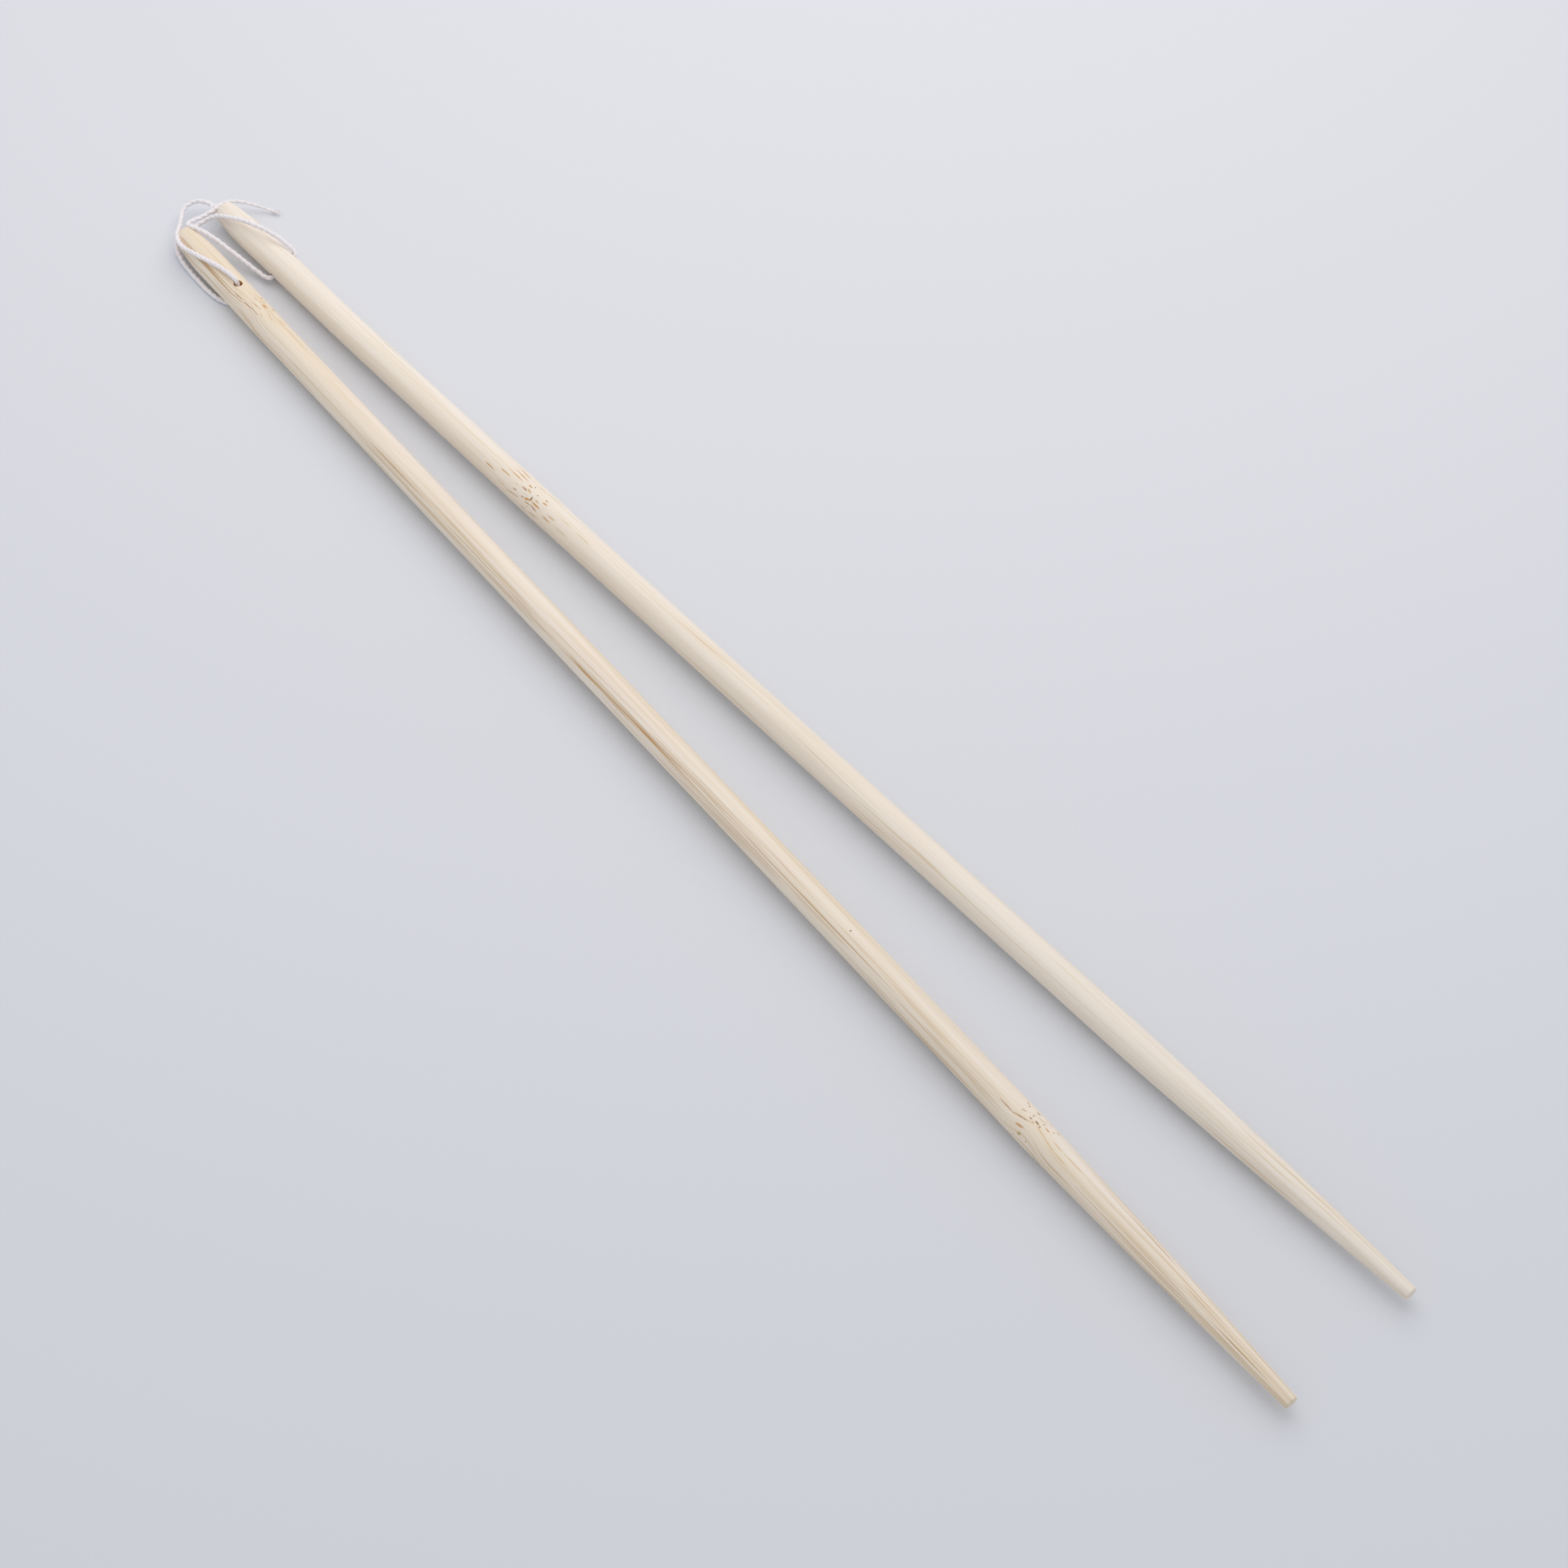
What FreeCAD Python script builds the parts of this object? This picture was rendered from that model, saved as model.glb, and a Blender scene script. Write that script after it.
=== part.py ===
import FreeCAD, Part
import Sketcher
import math
import os

# A pair of long bamboo cooking chopsticks, each with a small hole drilled across it near the
# butt, tied together by one thin cotton string that runs through both holes.
#
# Frame: +X runs from the butts to the tips along the middle of the pair, +Y points to the
# right-hand stick (seen from above with the tips away from you), +Z is up and z = 0 is the
# table.  The origin lies under the centre of the two sticks.  Lengths are millimetres.

Vector = FreeCAD.Vector
Rotation = FreeCAD.Rotation

doc = FreeCAD.newDocument("cooking_chopsticks")

# --------------------------------------------------------------------------- sizes
SIZES = [
    ("stick_length", "330"),
    ("shaft_radius", "3.1"),
    ("butt_radius", "2.25"),
    ("butt_taper", "11"),
    ("butt_rounding", "0.5"),
    ("tip_radius", "1.3"),
    ("tip_taper", "63"),
    ("tip_bulge", "0.24"),
    ("tip_rounding", "0.25"),
    ("hole_radius", "0.9"),
    ("hole_from_butt", "21.3"),
    ("butt_spacing", "10.42"),
    ("splay_half_angle", "1.57"),
    ("mean_butt_x", "-164.94"),
    ("right_lag", "0.21"),
    ("left_hole_lean", "6"),
    ("right_hole_lean", "70"),
    ("string_radius", "0.5"),
    ("knot_radius", "1.25"),
]
DERIVED = [
    ("tip_chord", "=sqrt(tip_taper ^ 2 + (shaft_radius - tip_radius) ^ 2)"),
    ("tip_arc_radius", "=tip_chord ^ 2 / (8 * tip_bulge) + tip_bulge / 2"),
    ("butt_side_y", "=butt_spacing / 2"),
    ("pocket_depth", "=4 * shaft_radius"),
]
sheet = doc.addObject("Spreadsheet::Sheet", "Sizes")
for row, (alias, text) in enumerate(SIZES + DERIVED, start=1):
    sheet.set("A%d" % row, alias)
    sheet.set("B%d" % row, text)
    sheet.setAlias("B%d" % row, alias)
doc.recompute()


def size(alias):
    """The number behind one name in the sheet."""
    return float(sheet.get(alias))


def sheet_ref(alias):
    return "<<Sizes>>." + alias


# --------------------------------------------------------------------------- sticks
def origin_plane(body, role):
    for feature in body.Origin.OriginFeatures:
        if feature.Role == role:
            return feature
    raise ValueError("no origin plane " + role)


def attached_sketch(body, name):
    sketch = body.newObject("Sketcher::SketchObject", name)
    sketch.AttachmentSupport = [(origin_plane(body, "XY_Plane"), "")]
    sketch.MapMode = "FlatFace"
    return sketch


def arc_between(start, end, radius):
    """The upward-bulging arc of the given radius from start to end, as a sketch arc."""
    chord = end - start
    middle = (start + end) * 0.5
    drop = math.sqrt(radius ** 2 - (chord.Length / 2) ** 2)
    below = Vector(chord.y, -chord.x, 0).normalize()
    centre = middle + below * drop
    first = math.atan2(end.y - centre.y, end.x - centre.x)
    last = math.atan2(start.y - centre.y, start.x - centre.x)
    circle = Part.Circle(centre, Vector(0, 0, 1), radius)
    return Part.ArcOfCircle(circle, first, last)


def bind_dimension(sketch, index, alias):
    sketch.setExpression("Constraints[%d]" % index, sheet_ref(alias))


def draw_half_profile(sketch):
    """Half the outline of a stick: butt at the sketch origin, tip out along the X axis."""
    length = size("stick_length")
    shaft = size("shaft_radius")
    butt = size("butt_radius")
    butt_end = size("butt_taper")
    tip = size("tip_radius")
    tip_start = length - size("tip_taper")
    butt_drop = shaft - butt
    butt_arc_radius = (butt_end ** 2 + butt_drop ** 2) / (2 * butt_drop)

    heel = Vector(0, 0, 0)
    butt_corner = Vector(0, butt, 0)
    shaft_start = Vector(butt_end, shaft, 0)
    shaft_end = Vector(tip_start, shaft, 0)
    tip_corner = Vector(length, tip, 0)
    toe = Vector(length, 0, 0)

    axis = sketch.addGeometry(Part.LineSegment(heel, toe), False)
    butt_face = sketch.addGeometry(Part.LineSegment(heel, butt_corner), False)
    butt_arc = sketch.addGeometry(arc_between(butt_corner, shaft_start, butt_arc_radius), False)
    side = sketch.addGeometry(Part.LineSegment(shaft_start, shaft_end), False)
    tip_arc = sketch.addGeometry(
        arc_between(shaft_end, tip_corner, size("tip_arc_radius")), False)
    tip_face = sketch.addGeometry(Part.LineSegment(tip_corner, toe), False)

    constraint = Sketcher.Constraint
    origin = (-1, 1)
    arc_left, arc_right = 2, 1
    sketch.addConstraint([
        constraint("Coincident", axis, 1, *origin),
        constraint("Coincident", butt_face, 1, axis, 1),
        constraint("Coincident", butt_arc, arc_left, butt_face, 2),
        constraint("Tangent", butt_arc, arc_right, side, 1),
        constraint("Coincident", tip_arc, arc_left, side, 2),
        constraint("Coincident", tip_face, 1, tip_arc, arc_right),
        constraint("Coincident", tip_face, 2, axis, 2),
        constraint("Horizontal", axis),
        constraint("Horizontal", side),
        constraint("Vertical", butt_face),
        constraint("Vertical", tip_face),
    ])
    dimensions = [
        (constraint("DistanceX", axis, 1, axis, 2, length), "stick_length"),
        (constraint("DistanceY", axis, 1, side, 1, shaft), "shaft_radius"),
        (constraint("DistanceY", butt_face, 1, butt_face, 2, butt), "butt_radius"),
        (constraint("DistanceX", axis, 1, side, 1, butt_end), "butt_taper"),
        (constraint("DistanceX", side, 2, axis, 2, size("tip_taper")), "tip_taper"),
        (constraint("DistanceY", tip_face, 2, tip_face, 1, tip), "tip_radius"),
        (constraint("Radius", tip_arc, size("tip_arc_radius")), "tip_arc_radius"),
    ]
    for dimension, alias in dimensions:
        bind_dimension(sketch, sketch.addConstraint(dimension), alias)


def draw_hole(sketch):
    """The string hole: a circle on the axis, a little way in from the butt."""
    distance = size("hole_from_butt")
    radius = size("hole_radius")
    circle = sketch.addGeometry(
        Part.Circle(Vector(distance, 0, 0), Vector(0, 0, 1), radius), False)
    constraint = Sketcher.Constraint
    sketch.addConstraint(constraint("PointOnObject", circle, 3, -1))
    place = sketch.addConstraint(constraint("DistanceX", -1, 1, circle, 3, distance))
    bind_dimension(sketch, place, "hole_from_butt")
    bore = sketch.addConstraint(constraint("Radius", circle, radius))
    bind_dimension(sketch, bore, "hole_radius")


IN_PLANE = 1e-4


def end_edge(shape, x):
    """The name of the circular edge that lies in the plane at the given x."""
    for number, edge in enumerate(shape.Edges, start=1):
        box = edge.BoundBox
        if abs(box.XMin - x) < IN_PLANE and abs(box.XMax - x) < IN_PLANE:
            return "Edge%d" % number
    raise ValueError("no end edge at x = %g" % x)


def round_end(body, base, x, name, alias):
    fillet = body.newObject("PartDesign::Fillet", name)
    fillet.Base = (base, [end_edge(base.Shape, x)])
    fillet.Radius = size(alias)
    fillet.setExpression("Radius", sheet_ref(alias))
    body.Tip = fillet
    doc.recompute()
    return fillet


def make_stick(label, side, lean_alias):
    """One chopstick.  side is -1 for the left stick and +1 for the right stick."""
    body = doc.addObject("PartDesign::Body", label)
    body.Label = label

    profile = attached_sketch(body, label + "_profile")
    draw_half_profile(profile)
    doc.recompute()

    turned = body.newObject("PartDesign::Revolution", label + "_turned")
    turned.Profile = profile
    turned.ReferenceAxis = (profile, ["H_Axis"])
    turned.Angle = 360
    profile.Visibility = False
    doc.recompute()

    rounded = round_end(body, turned, 0, label + "_butt_round", "butt_rounding")
    rounded = round_end(body, rounded, size("stick_length"), label + "_tip_round", "tip_rounding")
    volume_before = rounded.Shape.Volume

    hole = attached_sketch(body, label + "_hole_outline")
    draw_hole(hole)
    doc.recompute()
    bore = body.newObject("PartDesign::Pocket", label + "_string_hole")
    bore.Profile = hole
    bore.Type = "Length"
    bore.Midplane = True
    bore.Length = size("pocket_depth")
    bore.setExpression("Length", sheet_ref("pocket_depth"))
    hole.Visibility = False
    body.Tip = bore
    doc.recompute()
    removed = volume_before - bore.Shape.Volume
    full_bore = math.pi * size("hole_radius") ** 2 * 2 * size("shaft_radius")
    print("%s: hole removes %.2f mm3, a plain bore would be %.2f" % (label, removed, full_bore))

    # The stick is rolled about its own axis until its hole leans as it lies, then splayed.
    body.Placement = FreeCAD.Placement(
        Vector(size("mean_butt_x") - side * size("right_lag"),
               side * size("butt_side_y"),
               size("shaft_radius")),
        Rotation(Vector(0, 0, 1), side * size("splay_half_angle"))
        * Rotation(Vector(1, 0, 0), -size(lean_alias)))
    x_sign = "-" if side > 0 else "+"
    y_sign = "" if side > 0 else "-"
    body.setExpression(".Placement.Base.x",
                       "%s %s %s" % (sheet_ref("mean_butt_x"), x_sign, sheet_ref("right_lag")))
    body.setExpression(".Placement.Base.y", y_sign + sheet_ref("butt_side_y"))
    body.setExpression(".Placement.Base.z", sheet_ref("shaft_radius"))
    return body


# --------------------------------------------------------------------------- string
# One length of twisted cotton.  It starts inside the knot, hangs round as a loose arc, goes
# down through the left stick, comes round the left butt, crosses over the right stick, goes
# through it towards the left one, comes back over the left butt and ends at the knot as a tail.
HIDDEN_END = [(-166.5, 6.3, 1.2), (-166.9, 5.6, 1.7), (-167.7, 4.9, 2.2)]
LOOSE_ARC = [
    (-168.9, 4.4, 2.8), (-170.4, 3.7, 3.0), (-171.8, 2.5, 2.8), (-172.3, 0.9, 2.5),
    (-171.8, -0.7, 2.4), (-170.5, -2.0, 2.5), (-168.9, -3.1, 2.9), (-167.1, -4.6, 3.4),
]
ALONG_LEFT_STICK = [
    (-165.2, -6.3, 4.2), (-162.8, -7.7, 4.8), (-160.1, -8.1, 5.3), (-157.2, -7.8, 6.0),
    (-153.8, -7.2, 6.5), (-150.6, -6.5, 6.9), (-147.9, -5.9, 7.0), (-145.7, -5.7, 7.1),
]
DOWN_LEFT_HOLE = [
    (-144.1, -5.5, 6.8), (-143.5, -5.6, 5.3), (-143.5, -5.9, 3.3), (-143.4, -6.0, 1.6),
    (-143.7, -6.7, 0.8),
]
BACK_ON_THE_TABLE = [
    (-144.6, -7.6, 0.6), (-146.3, -8.5, 0.6), (-149.1, -9.1, 0.6), (-153.0, -9.1, 0.6),
    (-157.0, -9.0, 0.6), (-160.3, -8.7, 0.8), (-162.9, -8.2, 1.0), (-164.8, -7.4, 1.3),
]
ACROSS_TO_RIGHT_STICK = [
    (-166.1, -5.9, 1.9), (-166.1, -4.0, 2.7), (-165.2, -2.1, 3.3), (-164.9, -0.3, 3.7),
    (-164.4, 1.3, 4.3), (-163.0, 2.5, 5.2),
]
OVER_RIGHT_STICK = [
    (-160.6, 3.2, 6.4), (-157.6, 4.1, 7.5), (-154.7, 5.1, 8.1), (-151.9, 6.1, 8.2),
    (-149.4, 7.1, 7.7), (-147.4, 8.0, 6.9), (-145.9, 8.6, 5.8), (-144.8, 9.1, 5.0),
]
THROUGH_RIGHT_HOLE = [
    (-143.9, 8.7, 4.2), (-143.9, 6.8, 3.5), (-143.8, 4.8, 2.8), (-143.8, 2.7, 2.0),
]
BETWEEN_THE_STICKS = [
    (-145.0, 1.7, 1.6), (-146.8, 1.5, 1.6), (-149.3, 1.0, 2.0), (-152.2, 0.4, 2.6),
    (-155.3, -0.3, 3.3), (-157.6, -0.9, 4.0), (-159.8, -1.7, 4.8), (-161.4, -2.4, 5.3),
]
ROUND_LEFT_BUTT = [
    (-163.1, -3.1, 5.4), (-164.8, -3.6, 4.9), (-166.1, -3.1, 4.2), (-166.5, -1.8, 3.8),
    (-166.4, -0.3, 3.6), (-166.2, 1.2, 3.6), (-166.2, 2.7, 3.7),
]
TAIL = [
    (-166.4, 4.2, 3.7), (-166.8, 5.7, 3.5), (-166.9, 7.3, 3.1), (-166.4, 8.9, 2.7),
    (-165.2, 10.5, 2.2), (-163.7, 11.9, 1.6), (-162.1, 13.3, 1.0), (-160.5, 14.3, 0.6),
]
ROUTE = (
    HIDDEN_END + LOOSE_ARC + ALONG_LEFT_STICK + DOWN_LEFT_HOLE + BACK_ON_THE_TABLE
    + ACROSS_TO_RIGHT_STICK + OVER_RIGHT_STICK + THROUGH_RIGHT_HOLE + BETWEEN_THE_STICKS
    + ROUND_LEFT_BUTT + TAIL
)
CORNER_SHARE = 0.45
KNOT_CENTRE = Vector(-167.0, 4.2, 3.1)


def corner_arc(before, corner, after):
    """Where a corner's arc starts, its middle and where it ends, and its radius."""
    back = before - corner
    ahead = after - corner
    reach = CORNER_SHARE * min(back.Length, ahead.Length)
    back.normalize()
    ahead.normalize()
    half_turn = (math.pi - back.getAngle(ahead)) / 2
    radius = reach / math.tan(half_turn)
    towards_centre = (back + ahead).normalize()
    middle = corner + towards_centre * (radius / math.cos(half_turn) - radius)
    return corner + back * reach, middle, corner + ahead * reach, radius


def rounded_route(points):
    """Straight runs joined by tangent arcs through the corner points, as one wire."""
    corners = [Vector(*point) for point in points]
    edges = []
    radii = []
    run_start = corners[0]
    for before, corner, after in zip(corners, corners[1:], corners[2:]):
        arc_start, arc_middle, arc_end, radius = corner_arc(before, corner, after)
        edges.append(Part.LineSegment(run_start, arc_start).toShape())
        edges.append(Part.Arc(arc_start, arc_middle, arc_end).toShape())
        radii.append(radius)
        run_start = arc_end
    edges.append(Part.LineSegment(run_start, corners[-1]).toShape())
    return Part.Wire(edges), radii


def make_string():
    wire, radii = rounded_route(ROUTE)
    route = doc.addObject("Part::Feature", "tie_string_route")
    route.Shape = wire

    start = Vector(*ROUTE[0])
    first_run = Vector(*ROUTE[1]) - start
    section = doc.addObject("Part::Circle", "tie_string_section")
    section.setExpression("Radius", sheet_ref("string_radius"))
    section.Placement = FreeCAD.Placement(start, Rotation(Vector(0, 0, 1), first_run))

    tube = doc.addObject("Part::Sweep", "tie_string")
    tube.Sections = [section]
    tube.Spine = (route, [])
    tube.Solid = True
    tube.Frenet = False
    doc.recompute()

    print("string length %.1f mm" % wire.Length)
    print("corner radii: " + " ".join("%.1f" % radius for radius in radii))
    expected = math.pi * size("string_radius") ** 2 * wire.Length
    print("tube volume %.2f mm3, section x length %.2f" % (tube.Shape.Volume, expected))
    return tube


def make_knot():
    """The body of the knot, where the string's two ends are tied."""
    knot = doc.addObject("Part::Ellipsoid", "string_knot")
    for radius_name in ("Radius1", "Radius2", "Radius3"):
        knot.setExpression(radius_name, sheet_ref("knot_radius"))
    knot.Placement = FreeCAD.Placement(KNOT_CENTRE, Rotation())
    return knot


# --------------------------------------------------------------------------- build
pieces = [
    make_stick("chopstick_left", -1, "left_hole_lean"),
    make_stick("chopstick_right", 1, "right_hole_lean"),
    make_string(),
    make_knot(),
]
doc.recompute()

for item in doc.Objects:
    if {"Invalid", "Error"} & set(item.State):
        raise RuntimeError("%s did not recompute: %s" % (item.Name, item.State))
for piece in pieces:
    if piece.Shape.isNull() or not piece.Shape.isValid():
        raise RuntimeError("%s has no valid shape" % piece.Name)

os.makedirs("parts", exist_ok=True)
for piece in pieces:
    piece.Shape.exportStep("parts/%s.step" % piece.Name)
    box = piece.Shape.optimalBoundingBox()
    print("%-16s volume %8.2f  x %.2f to %.2f  y %.2f to %.2f  z %.2f to %.2f" % (
        piece.Name, piece.Shape.Volume,
        box.XMin, box.XMax, box.YMin, box.YMax, box.ZMin, box.ZMax))
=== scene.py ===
import math
import random

import bpy
import numpy as np
from mathutils import Matrix, Vector


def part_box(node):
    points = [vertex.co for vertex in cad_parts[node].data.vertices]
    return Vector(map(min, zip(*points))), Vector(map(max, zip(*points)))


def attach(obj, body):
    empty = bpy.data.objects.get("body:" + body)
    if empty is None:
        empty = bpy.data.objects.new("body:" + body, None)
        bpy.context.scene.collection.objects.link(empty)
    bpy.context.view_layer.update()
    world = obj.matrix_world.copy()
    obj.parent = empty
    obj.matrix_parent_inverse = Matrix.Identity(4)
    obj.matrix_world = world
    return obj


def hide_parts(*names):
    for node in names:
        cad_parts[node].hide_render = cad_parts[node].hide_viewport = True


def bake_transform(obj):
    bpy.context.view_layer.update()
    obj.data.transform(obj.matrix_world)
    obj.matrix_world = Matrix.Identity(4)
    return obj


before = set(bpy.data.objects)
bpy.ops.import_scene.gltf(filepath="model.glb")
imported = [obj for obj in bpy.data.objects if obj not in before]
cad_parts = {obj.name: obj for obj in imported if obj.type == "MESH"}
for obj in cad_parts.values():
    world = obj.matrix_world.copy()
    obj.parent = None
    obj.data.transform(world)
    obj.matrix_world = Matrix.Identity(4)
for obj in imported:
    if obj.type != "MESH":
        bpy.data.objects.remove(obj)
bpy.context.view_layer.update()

# A pair of bamboo cooking chopsticks, tied together with one cotton string.
MM = 0.001


# ----------------------------------------------------------------------------- camera
def aim(obj, place, target):
    """Puts a camera or a light at a place and turns it towards a target."""
    obj.location = place
    obj.rotation_euler = (Vector(target) - Vector(place)).to_track_quat("-Z", "Y").to_euler()


CAMERA_PLACE = (0.24682, -0.19105, 0.44957)
CAMERA_TARGET = (0.01984, 0.00242, 0.0)
FIELD_OF_VIEW = math.radians(30)
SENSOR_SIZE = 36.0
CLIP_START = 0.02
CLIP_END = 20

camera_data = bpy.data.cameras.new("camera")
camera_data.sensor_width = SENSOR_SIZE
camera_data.sensor_height = SENSOR_SIZE
camera_data.lens = SENSOR_SIZE / 2 / math.tan(FIELD_OF_VIEW / 2)
camera_data.clip_start = CLIP_START
camera_data.clip_end = CLIP_END
camera = bpy.data.objects.new("camera", camera_data)
bpy.context.scene.collection.objects.link(camera)
aim(camera, CAMERA_PLACE, CAMERA_TARGET)
bpy.context.scene.camera = camera
bpy.context.scene.view_settings.view_transform = "Standard"


# ----------------------------------------------------------------------------- mesh helpers
def add_mesh(name, verts, faces, materials=(), uvs=None):
    """A new object from vertex and face lists.  uvs has one (u, v) pair for each face corner."""
    mesh = bpy.data.meshes.new(name)
    mesh.from_pydata([tuple(v) for v in verts], [], faces)
    for material in materials:
        mesh.materials.append(material)
    if uvs is not None:
        layer = mesh.uv_layers.new(name="UVMap")
        layer.data.foreach_set("uv", np.asarray(uvs, dtype=np.float32).ravel())
    mesh.update()
    for polygon in mesh.polygons:
        polygon.use_smooth = True
    obj = bpy.data.objects.new(name, mesh)
    bpy.context.scene.collection.objects.link(obj)
    return obj


def add_vector_attribute(mesh, name, values):
    """One vector for each vertex, for a material to read."""
    layer = mesh.attributes.new(name, "FLOAT_VECTOR", "POINT")
    layer.data.foreach_set("vector", np.asarray(values, dtype=np.float32).ravel())


# ----------------------------------------------------------------------------- node helpers
class Nodes:
    """A short way to write a material's node tree."""

    def __init__(self, name):
        self.material = bpy.data.materials.new(name)
        self.material.use_nodes = True
        self.tree = self.material.node_tree
        self.tree.nodes.clear()
        self.output = self.tree.nodes.new("ShaderNodeOutputMaterial")
        self.shader = self.tree.nodes.new("ShaderNodeBsdfPrincipled")
        self.tree.links.new(self.shader.outputs[0], self.output.inputs["Surface"])

    def put(self, socket, value):
        """Links another node's output to a socket, or gives the socket a fixed value."""
        if isinstance(value, bpy.types.NodeSocket):
            self.tree.links.new(value, socket)
        elif value is not None:
            socket.default_value = value

    def attribute(self, name, output="Vector"):
        node = self.tree.nodes.new("ShaderNodeAttribute")
        node.attribute_name = name
        return node.outputs[output]

    def uv(self):
        return self.tree.nodes.new("ShaderNodeTexCoord").outputs["UV"]

    def scaled(self, vector, scale, offset=(0, 0, 0)):
        node = self.tree.nodes.new("ShaderNodeMapping")
        self.put(node.inputs["Vector"], vector)
        node.inputs["Scale"].default_value = scale
        node.inputs["Location"].default_value = offset
        return node.outputs[0]

    def noise(self, vector, scale=1.0, detail=2.0, roughness=0.5):
        node = self.tree.nodes.new("ShaderNodeTexNoise")
        self.put(node.inputs["Vector"], vector)
        node.inputs["Scale"].default_value = scale
        node.inputs["Detail"].default_value = detail
        node.inputs["Roughness"].default_value = roughness
        return node.outputs["Fac"]

    def ramp(self, value, low, high, out_low=0.0, out_high=1.0):
        """Passes smoothly from out_low to out_high while the value goes from low to high."""
        node = self.tree.nodes.new("ShaderNodeMapRange")
        node.interpolation_type = "SMOOTHSTEP"
        self.put(node.inputs[0], value)
        for index, number in enumerate((low, high, out_low, out_high), start=1):
            node.inputs[index].default_value = number
        return node.outputs[0]

    def math(self, operation, a, b=None, clamp=False):
        node = self.tree.nodes.new("ShaderNodeMath")
        node.operation = operation
        node.use_clamp = clamp
        self.put(node.inputs[0], a)
        self.put(node.inputs[1], b)
        return node.outputs[0]

    def times(self, a, b):
        return self.math("MULTIPLY", a, b)

    def split(self, vector):
        node = self.tree.nodes.new("ShaderNodeSeparateXYZ")
        self.put(node.inputs[0], vector)
        return list(node.outputs)

    def combine(self, x, y, z):
        node = self.tree.nodes.new("ShaderNodeCombineXYZ")
        for socket, value in zip(node.inputs, (x, y, z)):
            self.put(socket, value)
        return node.outputs[0]

    def length(self, vector):
        node = self.tree.nodes.new("ShaderNodeVectorMath")
        node.operation = "LENGTH"
        self.put(node.inputs[0], vector)
        return node.outputs["Value"]

    def mix(self, factor, a, b):
        node = self.tree.nodes.new("ShaderNodeMix")
        node.data_type = "RGBA"
        self.put(node.inputs["Factor"], factor)
        self.put(node.inputs[6], a)
        self.put(node.inputs[7], b)
        return node.outputs[2]

    def bump(self, height, strength, distance):
        node = self.tree.nodes.new("ShaderNodeBump")
        node.inputs["Strength"].default_value = strength
        node.inputs["Distance"].default_value = distance
        self.put(node.inputs["Height"], height)
        return node.outputs[0]

    def surface(self, inputs):
        """Sets or links the shader's inputs by their names, and gives the material."""
        for name, value in inputs.items():
            self.put(self.shader.inputs[name], value)
        return self.material


def srgb(red, green, blue):
    """An sRGB colour given as 0 to 255, as the linear colour a node holds."""
    def linear(level):
        level /= 255
        return level / 12.92 if level <= 0.04045 else ((level + 0.055) / 1.055) ** 2.4
    return (linear(red), linear(green), linear(blue), 1.0)


# ----------------------------------------------------------------------------- cotton
COTTON_WHITE = srgb(251, 247, 250)
COTTON_SHADE = srgb(236, 230, 233)
COTTON_WARM = srgb(240, 233, 232)


def cotton_material():
    """White twisted cotton: fine fibres that run at a slant round each strand."""
    nodes = Nodes("cotton")
    uv = nodes.uv()
    along, around, _ = nodes.split(uv)
    slant = nodes.math("ADD", nodes.times(along, 1.1), nodes.times(around, 3.0))
    slanted = nodes.combine(nodes.times(slant, 4.0), nodes.times(around, 1.4),
                            nodes.times(along, 0.5))
    fibres = nodes.noise(slanted, scale=1.6, detail=3.0, roughness=0.6)
    patches = nodes.noise(nodes.scaled(uv, (0.35, 1.0, 1.0)), scale=1.3)
    shade = nodes.mix(nodes.ramp(fibres, 0.30, 0.60), COTTON_SHADE, COTTON_WHITE)
    return nodes.surface({
        "Base Color": nodes.mix(nodes.ramp(patches, 0.45, 0.75, 0.0, 0.4), shade, COTTON_WARM),
        "Roughness": nodes.ramp(fibres, 0.3, 0.7, 0.95, 0.78),
        "Normal": nodes.bump(fibres, strength=0.45, distance=0.05 * MM),
        "Specular IOR Level": 0.25,
        "Sheen Weight": 0.35,
        "Sheen Roughness": 0.5,
    })


COTTON = cotton_material()

# ----------------------------------------------------------------------------- string
# The route of the string, in millimetres, as the CAD has it.
HIDDEN_END = [(-166.5, 6.3, 1.2), (-166.9, 5.6, 1.7), (-167.7, 4.9, 2.2)]
LOOSE_ARC = [
    (-168.9, 4.4, 2.8), (-170.4, 3.7, 3.0), (-171.8, 2.5, 2.8), (-172.3, 0.9, 2.5),
    (-171.8, -0.7, 2.4), (-170.5, -2.0, 2.5), (-168.9, -3.1, 2.9), (-167.1, -4.6, 3.4),
]
ALONG_LEFT_STICK = [
    (-165.2, -6.3, 4.2), (-162.8, -7.7, 4.8), (-160.1, -8.1, 5.3), (-157.2, -7.8, 6.0),
    (-153.8, -7.2, 6.5), (-150.6, -6.5, 6.9), (-147.9, -5.9, 7.0), (-145.7, -5.7, 7.1),
]
DOWN_LEFT_HOLE = [
    (-144.1, -5.5, 6.8), (-143.5, -5.6, 5.3), (-143.5, -5.9, 3.3), (-143.4, -6.0, 1.6),
    (-143.7, -6.7, 0.8),
]
BACK_ON_THE_TABLE = [
    (-144.6, -7.6, 0.6), (-146.3, -8.5, 0.6), (-149.1, -9.1, 0.6), (-153.0, -9.1, 0.6),
    (-157.0, -9.0, 0.6), (-160.3, -8.7, 0.8), (-162.9, -8.2, 1.0), (-164.8, -7.4, 1.3),
]
ACROSS_TO_RIGHT_STICK = [
    (-166.1, -5.9, 1.9), (-166.1, -4.0, 2.7), (-165.2, -2.1, 3.3), (-164.9, -0.3, 3.7),
    (-164.4, 1.3, 4.3), (-163.0, 2.5, 5.2),
]
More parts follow.
